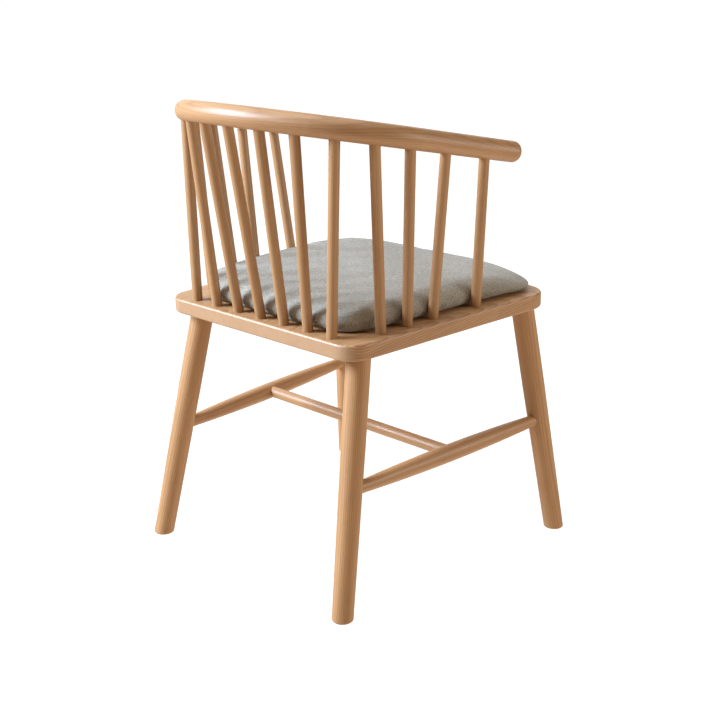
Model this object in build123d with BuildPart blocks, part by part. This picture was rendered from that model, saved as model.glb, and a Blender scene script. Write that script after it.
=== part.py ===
"""Wooden armchair: a bow rail on spindles, a leaning seat board, four splayed legs, an H stretcher.

Millimetres. Z is up, the front faces -Y and the sitter's left is +X. The origin is on the
floor under the middle of the chair, which is mirror symmetric about the YZ plane.
"""

import os

from build123d import *

os.makedirs("parts", exist_ok=True)

# Seat board. Widths are half widths, and its top face falls towards the back.
SEAT_HEIGHT = 429.0
SEAT_LEAN = 1.5
SEAT_THICKNESS = 25.0
SEAT_BACK_Y = 214.0
SEAT_FRONT_Y = -230.5
SEAT_BACK_HALF = 215.0
SEAT_FRONT_HALF = 251.0
SEAT_BACK_CORNER = 37.0
SEAT_FRONT_CORNER = 48.0
SEAT_EASING = 4.0

# Bow rail: three tangent arcs from the middle of the back to the front end of each arm.
RAIL_RADIUS = 16.3
RAIL_BACK_Y = 257.6
RAIL_HEIGHT = 694.0
RAIL_RISE = 10.25
BACK_ARC, BACK_TURN = 275.0, 30.5
CORNER_ARC, CORNER_TURN = 175.0, 56.0
ARM_ARC, ARM_TURN = 1750.0, 6.5
RAIL_END_ROUND = 12.0

# Spindles. Feet are set out on the board, heads along the rail from the middle of the back.
SPINDLE_RADIUS = 8.25
SPINDLE_IN_SEAT = 15.0
SPINDLE_PAST_RAIL_AXIS = 2.0
BACK_FEET_INSET = 18.0
BACK_FEET_X = (0.0, 53.0, 105.8, 156.6)
BACK_HEADS = (0.0, 61.5, 120.0, 179.5)
SIDE_FEET_INSET = 25.8
SIDE_FEET_Y = (132.3, 78.6, 24.4, -70.5)
SIDE_HEADS = (236.0, 294.0, 366.5, 447.0)

# Legs: axis points on the floor and on the board's underside.
LEG_FOOT_RADIUS = 16.7
LEG_TOP_RADIUS = 18.8
LEG_TAPER_LENGTH = 270.0
LEG_FOOT_ROUND = 3.0
LEG_TENON_RADIUS = 12.5
LEG_TENON_LENGTH = 14.0
LEGS = {
    "back": ((221.2, 240.9), (181.7, 165.0)),
    "front": ((257.5, -253.4), (210.3, -195.8)),
}

# Stretchers.
SIDE_END_RADIUS = 10.0
SIDE_MIDDLE_RADIUS = 14.3
SIDE_SHOULDER = 24.0
SIDE_END_GAP = 2.0
SIDE_BACK_HEIGHT = 195.2
SIDE_FRONT_HEIGHT = 204.7
CROSS_RADIUS = 10.0
CROSS_IN_SIDE = 10.0

# Cushion, lying on the board inside the spindles and wider in front of the foremost ones.
CUSHION_THICKNESS = 37.0
CUSHION_SIDE_INSET = 35.0
CUSHION_BACK_INSET = 27.0
CUSHION_WIDENS_Y = -92.0
CUSHION_FRONT_SIDE_INSET = 23.0
CUSHION_FRONT_INSET = 3.0
CUSHION_BACK_CORNER = 56.0
CUSHION_SIDE_BEND = 300.0
CUSHION_FRONT_CORNER = 50.0
CUSHION_TOP_ROUND = 16.0
CUSHION_BOTTOM_ROUND = 9.0
COVER_THICKNESS = 1.5

# Room left round every tenon, at its blind end, and under the loose cushion.
JOINT_CLEARANCE = 0.05
SOCKET_END_CLEARANCE = 0.3
CUSHION_CLEARANCE = 0.35

SIDES = {"left": 1, "right": -1}


def seat_half_width(y):
    """Half width of the seat board at y, before its corners are rounded."""
    share = (SEAT_BACK_Y - y) / (SEAT_BACK_Y - SEAT_FRONT_Y)
    return SEAT_BACK_HALF + share * (SEAT_FRONT_HALF - SEAT_BACK_HALF)


def turning_plane(start, end):
    """Sketch plane through a turned piece: local Y runs along its axis from start to end."""
    along = (end - start).normalized()
    across = along.cross(Vector(0, 0, 1)).normalized()
    return Plane(origin=start, x_dir=across, z_dir=across.cross(along))


def axis_plane(start, end):
    """Plane square to an axis at its start, with its normal towards end."""
    return Plane(origin=start, z_dir=(end - start).normalized())


def mirrored(point, side):
    """The point itself on the left, and its mirror image on the right."""
    return Vector(side * point.X, point.Y, point.Z)


def rail_point(distance):
    """Point of the rail's axis, distance from the middle of the back, on the left."""
    share = distance / rail_wire.length
    return max(rail_wire @ (0.5 - share), rail_wire @ (0.5 + share), key=lambda point: point.X)


seat_top = Plane(origin=(0, 0, SEAT_HEIGHT)).rotated((-SEAT_LEAN, 0, 0))
seat_bottom = seat_top.offset(-SEAT_THICKNESS)
rail_plane = Plane(origin=(0, 0, RAIL_HEIGHT)).rotated((RAIL_RISE, 0, 0))

# Centre line of the rail, and its points under which the spindle heads come.
with BuildLine(rail_plane) as rail_path:
    back = CenterArc((0, RAIL_BACK_Y - BACK_ARC), BACK_ARC, 90 - BACK_TURN, 2 * BACK_TURN)
    left_corner = JernArc(back @ 0, -(back % 0), CORNER_ARC, -CORNER_TURN)
    left_arm = JernArc(left_corner @ 1, left_corner % 1, ARM_ARC, ARM_TURN)
    right_corner = JernArc(back @ 1, back % 1, CORNER_ARC, CORNER_TURN)
    JernArc(right_corner @ 1, right_corner % 1, ARM_ARC, -ARM_TURN)
rail_wire = rail_path.wires()[0]

# Axis of every spindle, from its foot on the board's top face to its head on the rail's axis.
spindles = {}
back_feet_y = SEAT_BACK_Y - BACK_FEET_INSET
back_signs = [(3 - i, -1) for i in range(3)] + [(i, 1) for i in range(4)]
for number, (step, side) in enumerate(back_signs, start=1):
    foot = seat_top.from_local_coords(Vector(BACK_FEET_X[step], back_feet_y, 0))
    head = rail_point(BACK_HEADS[step])
    spindles[f"spindle_back_{number}"] = (mirrored(foot, side), mirrored(head, side))
for side_name, side in SIDES.items():
    for number, foot_y in enumerate(SIDE_FEET_Y, start=1):
        foot_x = seat_half_width(foot_y) - SIDE_FEET_INSET
        foot = seat_top.from_local_coords(Vector(foot_x, foot_y, 0))
        head = rail_point(SIDE_HEADS[number - 1])
        spindles[f"spindle_{side_name}_{number}"] = (mirrored(foot, side), mirrored(head, side))

# Axis of every leg, from the floor to the board's underside.
legs = {}
for end_name, (foot_xy, head_xy) in LEGS.items():
    foot = Vector(*foot_xy, 0)
    head = seat_bottom.from_local_coords(Vector(*head_xy, 0))
    for side_name, side in SIDES.items():
        legs[f"{end_name}_{side_name}"] = (mirrored(foot, side), mirrored(head, side))

# Axis of every side stretcher, from the back leg's axis to the front leg's.
side_stretchers = {}
for side_name in SIDES:
    ends = []
    for end_name, height in (("back", SIDE_BACK_HEIGHT), ("front", SIDE_FRONT_HEIGHT)):
        foot, head = legs[f"{end_name}_{side_name}"]
        ends.append(foot + (head - foot) * (height / head.Z))
    side_stretchers[side_name] = tuple(ends)

with BuildPart() as seat_board:
    with BuildSketch(seat_top) as board_outline:
        with BuildLine():
            Polyline(
                (SEAT_BACK_HALF, SEAT_BACK_Y),
                (-SEAT_BACK_HALF, SEAT_BACK_Y),
                (-SEAT_FRONT_HALF, SEAT_FRONT_Y),
                (SEAT_FRONT_HALF, SEAT_FRONT_Y),
                close=True,
            )
        make_face()
        fillet(board_outline.vertices().sort_by(Axis.Y)[2:], radius=SEAT_BACK_CORNER)
        fillet(board_outline.vertices().sort_by(Axis.Y)[:2], radius=SEAT_FRONT_CORNER)
    extrude(amount=-SEAT_THICKNESS)
    broad_faces = seat_board.faces().sort_by(Axis.Z)
    fillet(broad_faces[0].edges() + broad_faces[-1].edges(), radius=SEAT_EASING)
    for foot, head in spindles.values():
        depth = SPINDLE_IN_SEAT + SOCKET_END_CLEARANCE
        with BuildSketch(axis_plane(foot, head).offset(-depth)):
            Circle(SPINDLE_RADIUS + JOINT_CLEARANCE)
        extrude(amount=2 * depth, mode=Mode.SUBTRACT)
    for foot, head in legs.values():
        depth = LEG_TENON_LENGTH + SOCKET_END_CLEARANCE
        with BuildSketch(axis_plane(head, foot).offset(-depth)):
            Circle(LEG_TENON_RADIUS + JOINT_CLEARANCE)
        extrude(amount=2 * depth, mode=Mode.SUBTRACT)
seat_board.part.label = "seat_board"
export_step(seat_board.part, "parts/seat_board.step")

with BuildPart() as bow_rail:
    with BuildSketch(Plane(origin=rail_wire @ 0, z_dir=rail_wire % 0)):
        Circle(RAIL_RADIUS)
    sweep(path=rail_wire)
    ends = bow_rail.faces().filter_by(GeomType.PLANE)
    fillet(ends.edges(), radius=RAIL_END_ROUND)
    for foot, head in spindles.values():
        past = SPINDLE_PAST_RAIL_AXIS + SOCKET_END_CLEARANCE
        with BuildSketch(axis_plane(head, foot).offset(-past)):
            Circle(SPINDLE_RADIUS + JOINT_CLEARANCE)
        extrude(amount=past + 2 * RAIL_RADIUS, mode=Mode.SUBTRACT)
bow_rail.part.label = "bow_rail"
export_step(bow_rail.part, "parts/bow_rail.step")

for name, (foot, head) in spindles.items():
    with BuildPart() as spindle:
        with BuildSketch(axis_plane(foot, head).offset(-SPINDLE_IN_SEAT)):
            Circle(SPINDLE_RADIUS)
        extrude(amount=SPINDLE_IN_SEAT + (head - foot).length + SPINDLE_PAST_RAIL_AXIS)
    spindle.part.label = name
    export_step(spindle.part, f"parts/{name}.step")

for name, (foot, head) in legs.items():
    end_name, side_name = name.split("_")
    joint, far_joint = side_stretchers[side_name]
    if end_name == "front":
        joint, far_joint = far_joint, joint
    length = (head - foot).length
    spare = 2 * LEG_TOP_RADIUS
    taper = (LEG_TOP_RADIUS - LEG_FOOT_RADIUS) / LEG_TAPER_LENGTH
    with BuildPart() as leg:
        with BuildSketch(turning_plane(foot, head)):
            with BuildLine():
                Polyline(
                    (LEG_FOOT_RADIUS - taper * spare, -spare),
                    (LEG_TOP_RADIUS, LEG_TAPER_LENGTH),
                    (LEG_TOP_RADIUS, length + spare),
                    (0, length + spare),
                    (0, -spare),
                    close=True,
                )
            make_face()
        revolve(axis=Axis(foot, head - foot))
        split(bisect_by=Plane.XY, keep=Keep.TOP)
        split(bisect_by=seat_bottom, keep=Keep.BOTTOM)
        fillet(leg.faces().sort_by(Axis.Z)[0].edges(), radius=LEG_FOOT_ROUND)
        with BuildSketch(axis_plane(foot, head).offset(length - LEG_TENON_LENGTH)):
            Circle(LEG_TENON_RADIUS)
        extrude(amount=2 * LEG_TENON_LENGTH)
        with BuildSketch(axis_plane(joint, far_joint).offset(SIDE_END_GAP - SOCKET_END_CLEARANCE)):
            Circle(SIDE_END_RADIUS + JOINT_CLEARANCE)
        extrude(amount=2 * LEG_TOP_RADIUS, mode=Mode.SUBTRACT)
    leg.part.label = f"leg_{name}"
    export_step(leg.part, f"parts/leg_{name}.step")

for side_name, (back_joint, front_joint) in side_stretchers.items():
    length = (front_joint - back_joint).length
    middle = (back_joint + front_joint) / 2
    inwards = Vector(-SIDES[side_name], 0, 0)
    with BuildPart() as side_stretcher:
        with BuildSketch(turning_plane(back_joint, front_joint)):
            with BuildLine():
                ThreePointArc(
                    (SIDE_END_RADIUS, SIDE_SHOULDER),
                    (SIDE_MIDDLE_RADIUS, length / 2),
                    (SIDE_END_RADIUS, length - SIDE_SHOULDER),
                )
                Polyline(
                    (SIDE_END_RADIUS, length - SIDE_SHOULDER),
                    (SIDE_END_RADIUS, length - SIDE_END_GAP),
                    (0, length - SIDE_END_GAP),
                    (0, SIDE_END_GAP),
                    (SIDE_END_RADIUS, SIDE_END_GAP),
                    (SIDE_END_RADIUS, SIDE_SHOULDER),
                )
            make_face()
        revolve(axis=Axis(back_joint, front_joint - back_joint))
        bottom = SIDE_MIDDLE_RADIUS - CROSS_IN_SIDE - SOCKET_END_CLEARANCE
        with BuildSketch(Plane(origin=middle, z_dir=inwards).offset(bottom)):
            Circle(CROSS_RADIUS + JOINT_CLEARANCE)
        extrude(amount=2 * SIDE_MIDDLE_RADIUS, mode=Mode.SUBTRACT)
    side_stretcher.part.label = f"stretcher_{side_name}"
    export_step(side_stretcher.part, f"parts/stretcher_{side_name}.step")

cross_middle = (side_stretchers["left"][0] + side_stretchers["left"][1]) / 2
cross_half_length = cross_middle.X - SIDE_MIDDLE_RADIUS + CROSS_IN_SIDE
with BuildPart() as stretcher_cross:
    with BuildSketch(Plane(origin=(0, cross_middle.Y, cross_middle.Z), z_dir=(1, 0, 0))):
        Circle(CROSS_RADIUS)
    extrude(amount=cross_half_length, both=True)
stretcher_cross.part.label = "stretcher_cross"
export_step(stretcher_cross.part, "parts/stretcher_cross.step")


def cushion_pad(skin):
    """The cushion's closed shape, shrunk all round by skin."""
    back_y = SEAT_BACK_Y - CUSHION_BACK_INSET - skin
    front_y = SEAT_FRONT_Y + CUSHION_FRONT_INSET + skin
    back_half = seat_half_width(back_y) - CUSHION_SIDE_INSET - skin
    bend_half = seat_half_width(CUSHION_WIDENS_Y) - CUSHION_SIDE_INSET - skin
    front_half = seat_half_width(front_y) - CUSHION_FRONT_SIDE_INSET - skin
    with BuildPart() as pad:
        with BuildSketch(seat_top.offset(CUSHION_CLEARANCE + skin)) as outline:
            with BuildLine():
                Polyline(
                    (back_half, back_y),
                    (-back_half, back_y),
                    (-bend_half, CUSHION_WIDENS_Y),
                    (-front_half, front_y),
                    (front_half, front_y),
                    (bend_half, CUSHION_WIDENS_Y),
                    close=True,
                )
            make_face()
            fillet(outline.vertices().sort_by(Axis.Y)[4:], radius=CUSHION_BACK_CORNER - skin)
            fillet(outline.vertices().sort_by(Axis.Y)[:2], radius=CUSHION_FRONT_CORNER - skin)
            bends = [v for v in outline.vertices() if abs(v.Y - CUSHION_WIDENS_Y) < 1]
            fillet(bends, radius=CUSHION_SIDE_BEND)
        extrude(amount=CUSHION_THICKNESS - 2 * skin)
        flats = pad.faces().sort_by(Axis.Z)
        bottom_edges, top_edges = flats[0].edges(), flats[-1].edges()
        fillet(top_edges, radius=CUSHION_TOP_ROUND - skin)
        fillet(bottom_edges, radius=CUSHION_BOTTOM_ROUND - skin)
    return pad.part


with BuildPart() as cushion_cover:
    add(cushion_pad(0))
    add(cushion_pad(COVER_THICKNESS), mode=Mode.SUBTRACT)
cushion_cover.part.label = "cushion_cover"
export_step(cushion_cover.part, "parts/cushion_cover.step")

with BuildPart() as cushion_foam:
    add(cushion_pad(COVER_THICKNESS))
cushion_foam.part.label = "cushion_foam"
export_step(cushion_foam.part, "parts/cushion_foam.step")
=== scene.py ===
"""Looks for the wooden armchair: oiled wood on every CAD piece and a stuffed fabric cushion.

Metres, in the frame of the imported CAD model. The front faces -Y and the sitter's left is +X.
"""

import math
import random

import bpy
import numpy as np
from mathutils import Matrix, Vector, noise


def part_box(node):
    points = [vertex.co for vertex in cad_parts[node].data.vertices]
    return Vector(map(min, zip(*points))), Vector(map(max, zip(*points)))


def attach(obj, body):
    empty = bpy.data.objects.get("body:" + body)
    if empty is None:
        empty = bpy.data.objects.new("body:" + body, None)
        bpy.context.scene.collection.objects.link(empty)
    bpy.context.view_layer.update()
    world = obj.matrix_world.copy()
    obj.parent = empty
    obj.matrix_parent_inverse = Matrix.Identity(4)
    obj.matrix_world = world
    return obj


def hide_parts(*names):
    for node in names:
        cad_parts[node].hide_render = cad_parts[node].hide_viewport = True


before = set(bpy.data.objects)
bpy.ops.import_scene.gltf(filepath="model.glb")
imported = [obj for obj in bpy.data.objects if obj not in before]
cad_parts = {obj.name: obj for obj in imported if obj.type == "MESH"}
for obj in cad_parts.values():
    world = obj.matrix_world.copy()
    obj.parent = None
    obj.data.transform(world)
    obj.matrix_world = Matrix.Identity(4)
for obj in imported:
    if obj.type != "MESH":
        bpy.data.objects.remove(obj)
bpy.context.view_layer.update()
scene = bpy.context.scene

# ---------------------------------------------------------------- camera
CAMERA_AZIMUTH = 224.07
CAMERA_ELEVATION = 17.76
CAMERA_DISTANCE = 2.065
CAMERA_LENS = 60.67
CAMERA_AIM = Vector((-0.0078, -0.0175, 0.3075))
SENSOR_WIDTH = 36.0
SEES_AS_FAR_AS = 400.0


def direction(azimuth, elevation):
    """Unit vector from the object towards a viewer or light; azimuth 0 is in front, 90 at +X."""
    a, e = math.radians(azimuth), math.radians(elevation)
    return Vector((math.sin(a) * math.cos(e), -math.cos(a) * math.cos(e), math.sin(e)))


camera = bpy.data.objects.new("camera", bpy.data.cameras.new("camera"))
scene.collection.objects.link(camera)
back = direction(CAMERA_AZIMUTH, CAMERA_ELEVATION)
camera.location = CAMERA_AIM + back * CAMERA_DISTANCE
camera.rotation_euler = (-back).to_track_quat("-Z", "Y").to_euler()
camera.data.lens = CAMERA_LENS
camera.data.sensor_width = SENSOR_WIDTH
camera.data.clip_end = SEES_AS_FAR_AS
scene.camera = camera

# ---------------------------------------------------------------- light and floor
FLOOR_REACH = 150.0
FLOOR_DROP = 0.0005
FLOOR_GREY = 0.12
FLOOR_GLOW = 1.02
LIGHTS_AIM = Vector((0.0, 0.0, 0.42))
# Name, azimuth, elevation, distance, width, power and colour of each soft box.
LIGHTS = (
    ("key", 139.5, 29.5, 3.2, 1.40, 230.0, (0.87, 1.02, 1.23)),
    ("top", 140.0, 78.0, 2.8, 2.60, 40.0, (0.99, 1.0, 1.01)),
    ("backdrop", 44.0, 20.0, 3.2, 3.40, 34.0, (1.0, 1.0, 1.0)),
    ("rim", 300.0, 16.0, 3.0, 1.20, 34.0, (1.0, 0.95, 0.88)),
)
# The light from all round, from straight down (0) past the horizon (0.5) to straight up (1).
# It stands in for the bounce from the floor, which lights nothing itself.
SKY = (
    (0.00, (1.85, 1.62, 1.36)),
    (0.30, (0.82, 0.67, 0.52)),
    (0.48, (0.52, 0.40, 0.29)),
    (0.52, (0.58, 0.44, 0.31)),
    (0.62, (0.20, 0.15, 0.11)),
)
scene.view_settings.view_transform = "Standard"
scene.view_settings.look = "None"

world = bpy.data.worlds.new("studio")
scene.world = world
world.use_nodes = True
sky_nodes, sky_links = world.node_tree.nodes, world.node_tree.links
sky_place = sky_nodes.new("ShaderNodeTexCoord")
sky_split = sky_nodes.new("ShaderNodeSeparateXYZ")
sky_ramp = sky_nodes.new("ShaderNodeValToRGB")
sky_links.new(sky_place.outputs["Generated"], sky_split.inputs[0])
# The camera sees a plain white background where everything else is lit by the ramp.
sky_rays = sky_nodes.new("ShaderNodeLightPath")
sky_mix = sky_nodes.new("ShaderNodeMixRGB")
sky_mix.inputs["Color2"].default_value = (1.0, 1.0, 1.0, 1.0)
sky_links.new(sky_rays.outputs["Is Camera Ray"], sky_mix.inputs["Fac"])
sky_links.new(sky_ramp.outputs[0], sky_mix.inputs["Color1"])
sky_links.new(sky_mix.outputs[0], sky_nodes["Background"].inputs["Color"])
sky_height = sky_nodes.new("ShaderNodeMath")
sky_height.operation = "MULTIPLY_ADD"
sky_height.inputs[1].default_value = 0.5
sky_height.inputs[2].default_value = 0.5
sky_links.new(sky_split.outputs["Z"], sky_height.inputs[0])
sky_links.new(sky_height.outputs[0], sky_ramp.inputs[0])
sky_stops = sky_ramp.color_ramp.elements
while len(sky_stops) < len(SKY):
    sky_stops.new(0.5)
for stop, (place, colour) in zip(sky_stops, SKY):
    stop.position = place
    stop.color = (*colour, 1.0)


def area_light(name, azimuth, elevation, distance, size, power, colour):
    """A square soft box aimed at the middle of the chair."""
    data = bpy.data.lights.new(name, "AREA")
    data.shape = "SQUARE"
    data.size = size
    data.energy = power
    data.color = colour
    light = bpy.data.objects.new(name, data)
    scene.collection.objects.link(light)
    away = direction(azimuth, elevation)
    light.location = LIGHTS_AIM + away * distance
    light.rotation_euler = (-away).to_track_quat("-Z", "Y").to_euler()
    light.visible_camera = False


for light_values in LIGHTS:
    area_light(*light_values)

floor_mesh = bpy.data.meshes.new("floor")
floor_signs = ((-1, -1), (1, -1), (1, 1), (-1, 1))
floor_corners = [(x * FLOOR_REACH, y * FLOOR_REACH, 0.0) for x, y in floor_signs]
floor_mesh.from_pydata(floor_corners, [], [(0, 1, 2, 3)])
floor = bpy.data.objects.new("floor", floor_mesh)
scene.collection.objects.link(floor)
floor.location.z = -FLOOR_DROP
floor_material = bpy.data.materials.new("floor_pale")
floor_material.use_nodes = True
floor_shader = floor_material.node_tree.nodes["Principled BSDF"]
floor_shader.inputs["Base Color"].default_value = (FLOOR_GREY, FLOOR_GREY, FLOOR_GREY, 1.0)
floor_shader.inputs["Roughness"].default_value = 1.0
floor_shader.inputs["Specular IOR Level"].default_value = 0.0
floor_shader.inputs["Emission Color"].default_value = (1.0, 1.0, 1.0, 1.0)
floor_shader.inputs["Emission Strength"].default_value = FLOOR_GLOW
floor_mesh.materials.append(floor_material)
floor.visible_diffuse = False
floor.visible_glossy = False


# ---------------------------------------------------------------- node helpers
class Tree:
    """Short calls for building one material's nodes."""

    def __init__(self, name):
        self.material = bpy.data.materials.new(name)
        self.material.use_nodes = True
        self.nodes = self.material.node_tree.nodes
        self.links = self.material.node_tree.links
        self.shader = self.nodes["Principled BSDF"]

    def put(self, value, socket):
        """Sets a socket to a constant, or links another node's output to it."""
        if isinstance(value, bpy.types.NodeSocket):
            self.links.new(value, socket)
        else:
            socket.default_value = value

    def coordinates(self):
        return self.nodes.new("ShaderNodeTexCoord").outputs["Object"]

    def math(self, operation, *values):
        node = self.nodes.new("ShaderNodeMath")
        node.operation = operation
        for value, socket in zip(values, node.inputs):
            self.put(value, socket)
        return node.outputs[0]

    def vector(self, operation, *values):
        node = self.nodes.new("ShaderNodeVectorMath")
        node.operation = operation
        for value, socket in zip(values, node.inputs):
            self.put(value, socket)
        return node.outputs[0]

    def length(self, first, second):
        squares = self.math("MULTIPLY", first, first), self.math("MULTIPLY", second, second)
        return self.math("SQRT", self.math("ADD", *squares))

    def split(self, vector):
        node = self.nodes.new("ShaderNodeSeparateXYZ")
        self.put(vector, node.inputs[0])
        return node.outputs

    def join(self, x, y, z):
        node = self.nodes.new("ShaderNodeCombineXYZ")
        for value, socket in zip((x, y, z), node.inputs):
            self.put(value, socket)
        return node.outputs[0]

    def noise(self, vector, scale, detail=2.0, roughness=0.5):
        """Noise over a vector stretched by scale along each axis."""
        node = self.nodes.new("ShaderNodeTexNoise")
        self.put(self.vector("MULTIPLY", vector, scale), node.inputs["Vector"])
        node.inputs["Scale"].default_value = 1.0
        node.inputs["Detail"].default_value = detail
        node.inputs["Roughness"].default_value = roughness
        return node.outputs[0]

    def ramp(self, value, *stops):
        """Maps a value to grey levels or colours; each stop is a place and a grey or a colour."""
        node = self.nodes.new("ShaderNodeValToRGB")
        elements = node.color_ramp.elements
        while len(elements) < len(stops):
            elements.new(0.5)
        for element, (place, colour) in zip(elements, stops):
            element.position = place
            grey = isinstance(colour, (int, float))
            element.color = (colour, colour, colour, 1.0) if grey else (*colour, 1.0)
        self.put(value, node.inputs[0])
        return node.outputs[0]

    def mix(self, kind, factor, first, second):
        node = self.nodes.new("ShaderNodeMix")
        node.data_type = "RGBA"
        node.blend_type = kind
        self.put(factor, node.inputs[0])
        self.put(first if not isinstance(first, tuple) else (*first, 1.0), node.inputs[6])
        self.put(second if not isinstance(second, tuple) else (*second, 1.0), node.inputs[7])
        return node.outputs[2]

    def bump(self, height, strength, distance):
        node = self.nodes.new("ShaderNodeBump")
        node.inputs["Strength"].default_value = strength
        node.inputs["Distance"].default_value = distance
        self.put(height, node.inputs["Height"])
        return node.outputs[0]


# ---------------------------------------------------------------- wood
WOOD_LIGHT = (0.455, 0.255, 0.115)
WOOD_DARK = (0.265, 0.123, 0.045)
END_GRAIN = (0.400, 0.258, 0.158)
PORE_COLOUR = (0.125, 0.058, 0.024)
WOOD_ROUGHNESS = 0.42
WOOD_SPECULAR = 0.60
BOARD_SPECULAR = 0.80
WOOD_RELIEF = 0.12
WOOD_RELIEF_DEPTH = 0.0002

# Distance from one growth ring to the next.
TURNED_RINGS = 0.0031
BOARD_RINGS = 0.0042

# How strongly the growth rings show, and how light each kind of turned piece is. The legs' tone is
# painted light, raised to stand in for the bounce off the floor; the other kinds' tones only make
# them lighter or darker.
RING_MIX = {"leg": 0.46, "spindle": 0.28, "stretcher": 0.28, "rail": 0.42, "board": 0.78}
KIND_TONE_AND_PAINTED_LIGHT = {"leg": 1.11, "spindle": 0.95, "stretcher": 1.02, "rail": 0.93, "board": 1.0}

# The seat board's glued staves, and how far its grain runs out of its faces.
STAVE_WIDTH = 0.096
BOARD_RUNOUT = math.radians(9.0)
BOARD_PITH = Vector((0, 0, 0.085))

# The rail's bend, as seen in its box.
RAIL_RADIUS = 0.0163
RAIL_ARM_START = 0.062
RAIL_RISE = math.tan(math.radians(10.25))
RAIL_PITH = (0.05, -0.63)
rng = random.Random(11)


def straight_grain(tree, along, centre, pith):
    """Coordinates with X along a straight piece's grain; pith is where the tree's heart lay."""
    along = along.normalized()
    across = along.cross(Vector((0, 0, 1)))
    across = across.normalized() if across.length > 0.3 else along.orthogonal().normalized()
    turn = Matrix((along, across, along.cross(across))).transposed()
    node = tree.nodes.new("ShaderNodeMapping")
    node.vector_type = "TEXTURE"
    node.inputs["Location"].default_value = centre
    node.inputs["Rotation"].default_value = turn.to_euler()
    tree.put(tree.coordinates(), node.inputs["Vector"])
    return tree.vector("ADD", node.outputs[0], Vector((rng.uniform(-5, 5), *pith)))


def bent_grain(tree, arm_start, half_width, depth, rise, pith):
    """Coordinates with X along the bent rail's grain, round the back and down both arms."""
    x, y, z = tree.split(tree.coordinates())
    behind = tree.math("SUBTRACT", y, arm_start)
    u = tree.math("DIVIDE", x, half_width)
    v = tree.math("DIVIDE", tree.math("MAXIMUM", behind, 0.0), depth)
    ahead = tree.math("MAXIMUM", tree.math("MULTIPLY", behind, -1.0), 0.0)
    turned = tree.math("MULTIPLY", tree.math("ARCTAN2", u, v), half_width)
    run = tree.math("ADD", turned, tree.math("MULTIPLY", tree.math("SIGN", x), ahead))
    reach = tree.length(u, v)
    across = tree.math("MULTIPLY", tree.math("SUBTRACT", reach, 1.0), half_width)
    height = tree.math("SUBTRACT", z, tree.math("MULTIPLY", y, rise))
    grain = tree.join(run, across, height)
    return tree.vector("ADD", grain, Vector((3.1, *pith)))


def end_grain(tree, along):
    """How far the surface is cut across the fibres, 0 to 1."""
    normal = tree.nodes.new("ShaderNodeTexCoord").outputs["Normal"]
    node = tree.nodes.new("ShaderNodeVectorMath")
    node.operation = "DOT_PRODUCT"
    tree.put(normal, node.inputs[0])
    tree.put(along.normalized(), node.inputs[1])
    return tree.ramp(tree.math("ABSOLUTE", node.outputs["Value"]), (0.55, 0.0), (0.90, 1.0))


def finish_wood(
    tree, grain, tone_with_painted_light, ring_mix, period=TURNED_RINGS, specular=WOOD_SPECULAR, end=None
):
    """Growth rings, fibres, pores and a satin oiled surface, over grain coordinates."""
    wander = tree.noise(grain, (1.6, 9.0, 9.0), 2.0)
    ripple = tree.noise(grain, (9.0, 70.0, 70.0), 2.0)
    wander = tree.math("MULTIPLY", wander, 0.013)
    shift = tree.math("ADD", wander, tree.math("MULTIPLY", ripple, 0.0022))
    _, y, z = tree.split(grain)
    radius = tree.math("ADD", tree.length(y, z), shift)
    ring = tree.math("FRACT", tree.math("DIVIDE", radius, period))
    ring_tone = tree.ramp(ring, (0.0, 0.10), (0.12, 0.0), (0.62, 0.35), (0.90, 1.0), (1.0, 0.12))
    streak = tree.noise(grain, (3.0, 95.0, 95.0), 3.0, 0.55)
    streak_tone = tree.ramp(streak, (0.30, 0.0), (0.70, 1.0))
    blotch = tree.noise(grain, (4.0, 16.0, 16.0), 2.0)
    fibre = tree.noise(grain, (26.0, 850.0, 850.0), 3.0, 0.6)
    fibre_tone = tree.ramp(fibre, (0.32, 0.0), (0.70, 1.0))
    pore = tree.noise(grain, (60.0, 2300.0, 2300.0), 1.0)
    pore_tone = tree.ramp(pore, (0.60, 0.0), (0.72, 1.0))

    # Rings show less where the fibres are cut across.
    if end is not None:
        kept = tree.math("SUBTRACT", 1.0, tree.math("MULTIPLY", end, 0.65))
        ring_mix = tree.math("MULTIPLY", kept, ring_mix)
    dark = tree.math("MULTIPLY", ring_tone, ring_mix)
    dark = tree.math("ADD", dark, tree.math("MULTIPLY", streak_tone, 0.42))
    dark = tree.math("ADD", dark, tree.math("MULTIPLY", fibre_tone, 0.20))
    dark = tree.math("ADD", dark, tree.math("MULTIPLY", blotch, 0.30))
    dark = tree.math("SUBTRACT", dark, 0.24)
    # The piece's tone scales both wood colours; for the legs it is partly painted bounce light.
    light = tuple(c * tone_with_painted_light for c in WOOD_LIGHT)
    deep = tuple(c * tone_with_painted_light for c in WOOD_DARK)
    colour = tree.ramp(dark, (0.0, light), (1.0, deep))
    pore_share = tree.math("ADD", tree.math("MULTIPLY", ring_tone, 0.34), 0.16)
    colour = tree.mix("MIX", tree.math("MULTIPLY", pore_tone, pore_share), colour, PORE_COLOUR)
    if end is not None:
        colour = tree.mix("MIX", tree.math("MULTIPLY", end, 0.5), colour, END_GRAIN)
    tree.put(colour, tree.shader.inputs["Base Color"])

    gloss = tree.math("MULTIPLY", fibre_tone, 0.08)
    gloss = tree.math("ADD", gloss, tree.math("MULTIPLY", pore_tone, 0.12))
    tree.put(tree.math("ADD", gloss, WOOD_ROUGHNESS), tree.shader.inputs["Roughness"])
    tree.shader.inputs["Specular IOR Level"].default_value = specular
    relief = tree.math("MULTIPLY", fibre_tone, 0.5)
    relief = tree.math("SUBTRACT", relief, tree.math("MULTIPLY", pore_tone, 0.7))
    tree.put(tree.bump(relief, WOOD_RELIEF, WOOD_RELIEF_DEPTH), tree.shader.inputs["Normal"])


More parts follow.
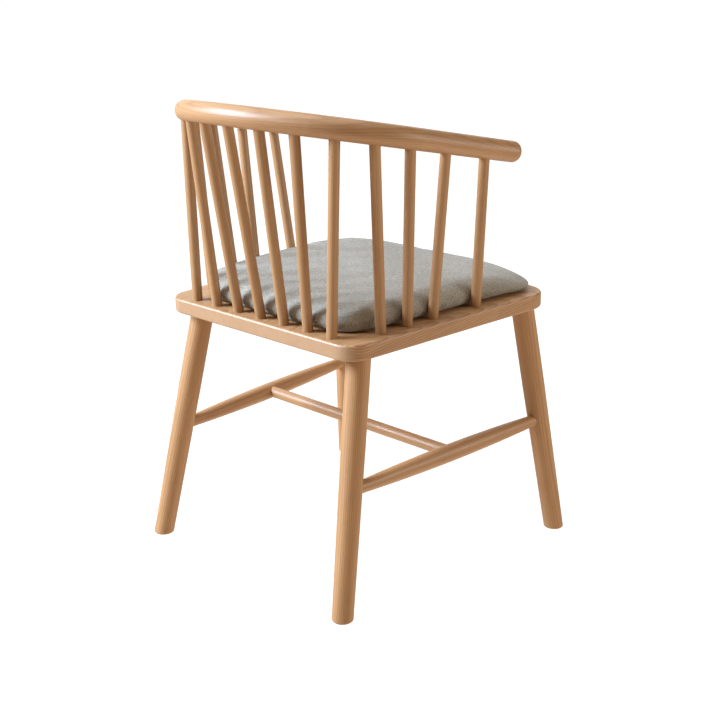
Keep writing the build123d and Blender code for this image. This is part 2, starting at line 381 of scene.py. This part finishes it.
def staves(tree, grain, width):
    """Edge-glued staves: steps across the grain, each stave cut from another place in the log."""
    x, y, z = tree.split(grain)
    place = tree.math("ADD", tree.math("DIVIDE", y, width), 0.5)
    number = tree.math("FLOOR", place)
    within = tree.math("MULTIPLY", tree.math("SUBTRACT", tree.math("FRACT", place), 0.5), width)
    lean = tree.math("MULTIPLY", tree.math("SINE", tree.math("MULTIPLY", number, 2.3)), 0.035)
    along = tree.math("ADD", x, tree.math("MULTIPLY", number, 1.37))
    return tree.join(along, tree.math("ADD", within, lean), z)


def mesh_points(node):
    """A CAD node's vertices at rest, as an array."""
    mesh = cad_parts[node].data
    points = np.empty(len(mesh.vertices) * 3)
    mesh.vertices.foreach_get("co", points)
    return points.reshape(-1, 3)


def long_axis(node):
    """Middle and direction of a long straight piece."""
    points = mesh_points(node)
    centre = (points.min(axis=0) + points.max(axis=0)) / 2
    _, _, axes = np.linalg.svd(points - points.mean(axis=0), full_matrices=False)
    return Vector(centre), Vector(axes[0])


def dress(node, material):
    """Gives a CAD node's surface a material."""
    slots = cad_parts[node].material_slots
    for index in range(len(slots)):
        slots[index].material = material


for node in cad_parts:
    kind = node.split("_")[0]
    if kind in ("spindle", "leg", "stretcher"):
        tree = Tree(f"wood_{node}")
        centre, along = long_axis(node)
        angle = rng.uniform(0, 2 * math.pi)
        reach = rng.uniform(0.03, 0.09)
        pith = (reach * math.cos(angle), reach * math.sin(angle))
        grain = straight_grain(tree, along, centre, pith)
        # A random tone for each piece, times its kind's tone, which for the legs holds painted
        # bounce light.
        tone_with_painted_light = rng.uniform(0.95, 1.04) * KIND_TONE_AND_PAINTED_LIGHT[kind]
        finish_wood(tree, grain, tone_with_painted_light, RING_MIX[kind])
        dress(node, tree.material)

board_tree = Tree("wood_seat_board")
board_low, board_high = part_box("seat_board")
board_along = Vector((0, -math.cos(BOARD_RUNOUT), math.sin(BOARD_RUNOUT)))
board_grain = straight_grain(board_tree, board_along, (board_low + board_high) / 2, (0.0, 0.0))
board_grain = staves(board_tree, board_grain, STAVE_WIDTH)
board_grain = board_tree.vector("ADD", board_grain, BOARD_PITH)
board_end = end_grain(board_tree, board_along)
board_finish = (KIND_TONE_AND_PAINTED_LIGHT["board"], RING_MIX["board"], BOARD_RINGS, BOARD_SPECULAR, board_end)
finish_wood(board_tree, board_grain, *board_finish)
dress("seat_board", board_tree.material)

rail_tree = Tree("wood_bow_rail")
rail_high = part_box("bow_rail")[1]
rail_half = rail_high.x - RAIL_RADIUS
rail_depth = rail_high.y - RAIL_RADIUS - RAIL_ARM_START
rail_grain = bent_grain(rail_tree, RAIL_ARM_START, rail_half, rail_depth, RAIL_RISE, RAIL_PITH)
finish_wood(rail_tree, rail_grain, KIND_TONE_AND_PAINTED_LIGHT["rail"], RING_MIX["rail"])
dress("bow_rail", rail_tree.material)

# ---------------------------------------------------------------- cushion
SEAT_LEAN = math.radians(1.5)

# Stuffing: remeshed, blown up as cloth, and held to this much swell.
VOXEL = 0.0045
SHRINK = 0.0005
CLOTH_QUALITY = 5
PRESSURE = 4.0
LAST_FRAME = 20
MOST_SWELL = 0.006

# Upper edge: how high above the board the cloth is softened, and how much.
SOFTENED_FROM = (0.008, 0.022)
EDGE_SOFTENING = 30
EDGE_FACTOR = 0.5

# Outline: how far each wall stands out from the foam, and how far the corners fall back.
SIDE_GROWTH = 0.0135
BACK_GROWTH = 0.0090
FRONT_GROWTH = 0.0060
FRONT_CORNER_PULL = 0.001
BACK_CORNER_PULL = 0.020
FAR_CORNER_PULL = 0.06
UNDERCUT = 0.024
UNDERCUT_HEIGHT = 0.020

# Thickness: shares of the height lost at the front, at its corners and round the rim.
FRONT_DROP = 0.12
FRONT_CORNER_DROP = 0.34
FRONT_CORNER_SKEW = 0.10
FRONT_CORNER_SHARPNESS = 1.6
RIM_DROP = 0.14
CROWN = 0.0045
CROWN_CENTRE_Y = -0.02
CROWN_REACH_Y = 0.21
FRONT_CORNER_LIFT = 0.002
LUMP_HEIGHT = 0.0012
LUMPS_PER_METRE = 11.0
REST_GAP = 0.0004

# Where the cloth meets a spindle, and its closing seam.
SPINDLE_RADIUS = 0.00825
SPINDLE_GAP = 0.0013
SPINDLE_PRESS = 0.0016
SPINDLE_REACH = 0.012
SEAM_HEIGHT = 0.0065
SEAM_WIDTH = 0.0016
SEAM_DEPTH = 0.0008


def read_points(mesh, layer="co"):
    """All vertex positions or normals of a mesh, as an array."""
    values = np.empty(len(mesh.vertices) * 3)
    mesh.vertices.foreach_get(layer, values)
    return values.reshape(-1, 3)


def write_points(mesh, points):
    mesh.vertices.foreach_set("co", points.ravel())
    mesh.update()


def to_seat(points):
    """Chair coordinates to coordinates with Z square to the leaning seat board."""
    c, s = math.cos(SEAT_LEAN), math.sin(SEAT_LEAN)
    x, y, z = points.T
    return np.stack((x, c * y - s * z, s * y + c * z), axis=1)


def from_seat(points):
    c, s = math.cos(SEAT_LEAN), math.sin(SEAT_LEAN)
    x, y, z = points.T
    return np.stack((x, c * y + s * z, -s * y + c * z), axis=1)


def smooth_step(values, low, high):
    t = np.clip((values - low) / (high - low), 0.0, 1.0)
    return t * t * (3.0 - 2.0 * t)


def apply_modifiers(piece):
    """Replaces a piece's mesh with the one its modifiers give."""
    depsgraph = bpy.context.evaluated_depsgraph_get()
    done = bpy.data.meshes.new_from_object(piece.evaluated_get(depsgraph))
    piece.modifiers.clear()
    piece.data = done


cover_points = to_seat(mesh_points("cushion_cover"))
board_top = np.array((0.0, -math.tan(SEAT_LEAN), 1.0)) * cover_points[:, 2].min()
cover_points -= board_top
pad_back, pad_front = cover_points[:, 1].max(), cover_points[:, 1].min()
pad_half = cover_points[:, 0].max()
pad_top = cover_points[:, 2].max()

cushion_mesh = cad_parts["cushion_foam"].data.copy()
cushion_mesh.name = "seat_cushion"
cushion_mesh.materials.clear()
cushion = bpy.data.objects.new("seat_cushion", cushion_mesh)
scene.collection.objects.link(cushion)
remesh = cushion.modifiers.new("remesh", "REMESH")
remesh.mode = "VOXEL"
remesh.voxel_size = VOXEL
apply_modifiers(cushion)

start = read_points(cushion.data) - SHRINK * read_points(cushion.data, "normal")
write_points(cushion.data, start)

cloth = cushion.modifiers.new("cloth", "CLOTH")
cloth.settings.quality = CLOTH_QUALITY
cloth.settings.use_pressure = True
cloth.settings.uniform_pressure_force = PRESSURE
cloth.settings.effector_weights.gravity = 0.0
for frame_number in range(1, LAST_FRAME + 1):
    scene.frame_set(frame_number)
apply_modifiers(cushion)
scene.frame_set(1)
swell = read_points(cushion.data) - start
length = np.linalg.norm(swell, axis=1, keepdims=True)
held = start + swell * np.minimum(1.0, MOST_SWELL / np.maximum(length, 1e-9))
write_points(cushion.data, held)

finer = cushion.modifiers.new("finer", "SUBSURF")
finer.levels = finer.render_levels = 1
apply_modifiers(cushion)

height = (to_seat(read_points(cushion.data)) - board_top)[:, 2]
upper = cushion.vertex_groups.new(name="upper")
for index, share in enumerate(smooth_step(height, *SOFTENED_FROM)):
    upper.add((index,), float(share), "REPLACE")
softer = cushion.modifiers.new("softer", "SMOOTH")
softer.factor = EDGE_FACTOR
softer.iterations = EDGE_SOFTENING
softer.vertex_group = "upper"
apply_modifiers(cushion)
cushion.vertex_groups.clear()


def sculpt(points, normals):
    """Settles the stuffed shape: full walls undercut at the board, thinner front, crowned top.

    The corner between the back and the sitter's left side is drawn in further than its twin.
    """
    local = to_seat(points) - board_top
    x, y, z = local.T.copy()
    front = smooth_step(-y, -0.02, -pad_front)
    front_corner = smooth_step(np.abs(x), 0.07, pad_half) * smooth_step(-y, 0.08, -pad_front)
    back_corner = smooth_step(np.abs(x), 0.10, pad_half) * smooth_step(y, 0.06, pad_back)
    far_back = smooth_step(x, 0.0, 0.06) * smooth_step(y, 0.02, pad_back)
    up = np.clip(z / pad_top, 0.0, 1.0)

    under = UNDERCUT * (1.0 - smooth_step(z, 0.0, UNDERCUT_HEIGHT))
    reach = -FRONT_CORNER_PULL * front_corner - BACK_CORNER_PULL * back_corner
    wider = 1.0 + SIDE_GROWTH / pad_half - under - FAR_CORNER_PULL * far_back
    x = x * wider + reach * normals[:, 0]
    y = y + np.where(y > 0, BACK_GROWTH * y / pad_back, FRONT_GROWTH * y / -pad_front)
    y = y * (1.0 - under) + reach * normals[:, 1]

    rim = np.maximum(np.abs(x) / pad_half, np.where(y > 0, y / pad_back, y / pad_front))
    corner_drop = FRONT_CORNER_DROP - FRONT_CORNER_SKEW * x / pad_half
    drop = FRONT_DROP * front + corner_drop * front_corner ** FRONT_CORNER_SHARPNESS
    z = z * (1.0 - drop - RIM_DROP * smooth_step(rim, 0.74, 1.04))
    middle_x = np.clip(1.0 - (x / pad_half) ** 2, 0, 1)
    middle_y = np.clip(1.0 - ((y - CROWN_CENTRE_Y) / CROWN_REACH_Y) ** 2, 0, 1)
    z = z + CROWN * middle_x * middle_y * up
    z = z + FRONT_CORNER_LIFT * front_corner ** 2 * (1.0 - up)
    spots = [Vector((px * LUMPS_PER_METRE, py * LUMPS_PER_METRE, 3.7)) for px, py in zip(x, y)]
    z = z + LUMP_HEIGHT * np.array([noise.noise(spot) for spot in spots]) * up
    z = np.maximum(z, REST_GAP)
    return from_seat(np.stack((x, y, z), axis=1) + board_top)


def clear_of_spindles(points):
    """Presses the cloth in softly where it meets a spindle."""
    keep = SPINDLE_RADIUS + SPINDLE_GAP
    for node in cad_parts:
        if not node.startswith("spindle"):
            continue
        centre, along = (np.array(v) for v in long_axis(node))
        off = points - centre
        off = off - np.outer(off @ along, along)
        off[:, 2] = 0.0
        distance = np.linalg.norm(off, axis=1)
        near = distance < keep + SPINDLE_REACH
        gap = (distance[near] - keep) / SPINDLE_PRESS
        eased = keep + SPINDLE_PRESS * np.logaddexp(0.0, gap)
        share = (eased - distance[near]) / np.maximum(distance[near], 1e-6)
        points[near] += off[near] * share[:, None]
    return points


def sew_seam(points, normals):
    """A fine closing seam round the wall, just above the board."""
    height = (to_seat(points) - board_top)[:, 2]
    wall = 1.0 - np.abs(normals[:, 2])
    groove = np.exp(-(((height - SEAM_HEIGHT) / SEAM_WIDTH) ** 2)) * smooth_step(wall, 0.25, 0.7)
    return points - SEAM_DEPTH * groove[:, None] * normals


settled = sculpt(read_points(cushion.data), read_points(cushion.data, "normal"))
settled = clear_of_spindles(settled)
write_points(cushion.data, settled)
write_points(cushion.data, sew_seam(settled, read_points(cushion.data, "normal")))
for polygon in cushion.data.polygons:
    polygon.use_smooth = True

THREAD = 0.0017
YARN_RELIEF = 0.55
YARN_RELIEF_DEPTH = 0.0004
YARN_LIGHT = (0.514, 0.484, 0.414)
YARN_MIDDLE = (0.359, 0.338, 0.288)
YARN_DARK = (0.191, 0.179, 0.150)


def weave_plane(tree, top):
    """Coordinates that lie flat on the cushion's top and turn down its walls with the cloth."""
    x, y, z = tree.split(tree.coordinates())
    normal = tree.nodes.new("ShaderNodeTexCoord").outputs["Normal"]
    facing_x, facing_y, _ = tree.split(normal)
    below = tree.math("SUBTRACT", top, z)
    return (
        tree.math("ADD", x, tree.math("MULTIPLY", facing_x, below)),
        tree.math("ADD", y, tree.math("MULTIPLY", facing_y, below)),
    )


def finish_fabric(tree, top):
    """A plain weave of speckled yarns with a little fuzz, and painted shade where the yarns dip
    between crossings.
    """
    a, b = weave_plane(tree, top)
    across = tree.math("DIVIDE", a, THREAD)
    down = tree.math("DIVIDE", b, THREAD)
    cell = tree.math("ADD", tree.math("FLOOR", across), tree.math("FLOOR", down))
    over = tree.math("MODULO", tree.math("ABSOLUTE", cell), 2.0)
    hill_a = tree.math("SINE", tree.math("MULTIPLY", tree.math("FRACT", across), math.pi))
    hill_b = tree.math("SINE", tree.math("MULTIPLY", tree.math("FRACT", down), math.pi))
    crossing = tree.math("MULTIPLY", hill_a, hill_b)
    plane = tree.join(a, b, 0.0)
    warp = tree.noise(plane, (620.0, 110.0, 1.0), 2.0, 0.6)
    moved = tree.vector("ADD", plane, Vector((7.3, 2.9, 0.0)))
    weft = tree.noise(moved, (110.0, 620.0, 1.0), 2.0, 0.6)
    tint = tree.math("ADD", tree.math("MULTIPLY", warp, over),
                     tree.math("MULTIPLY", weft, tree.math("SUBTRACT", 1.0, over)))
    fleck = tree.noise(plane, (420.0, 420.0, 1.0), 2.0, 0.6)
    cloud = tree.noise(plane, (22.0, 22.0, 1.0), 2.0)
    level = tree.math("ADD", tree.math("MULTIPLY", tint, 0.62), tree.math("MULTIPLY", fleck, 0.38))
    level = tree.math("ADD", level, tree.math("MULTIPLY", tree.math("SUBTRACT", cloud, 0.5), 0.10))
    colour = tree.ramp(level, (0.34, YARN_DARK), (0.50, YARN_MIDDLE), (0.66, YARN_LIGHT))
    # Painted shade: the yarn colour is darkened where the threads dip between crossings.
    painted_gap_shade = tree.ramp(crossing, (0.0, 0.38), (0.45, 1.0))
    tree.put(tree.mix("MULTIPLY", 0.8, colour, painted_gap_shade), tree.shader.inputs["Base Color"])
    tree.shader.inputs["Roughness"].default_value = 0.92
    tree.shader.inputs["Specular IOR Level"].default_value = 0.25
    tree.shader.inputs["Sheen Weight"].default_value = 0.18
    tree.shader.inputs["Sheen Roughness"].default_value = 0.45
    fuzz = tree.noise(plane, (1500.0, 1500.0, 1.0), 2.0, 0.6)
    relief = tree.math("ADD", crossing, tree.math("MULTIPLY", fuzz, 0.5))
    tree.put(tree.bump(relief, YARN_RELIEF, YARN_RELIEF_DEPTH), tree.shader.inputs["Normal"])


fabric = Tree("cushion_fabric")
finish_fabric(fabric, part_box("cushion_cover")[1].z - 0.006)
cushion.data.materials.clear()
cushion.data.materials.append(fabric.material)

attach(cushion, "cushion")
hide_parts("cushion_cover", "cushion_foam")
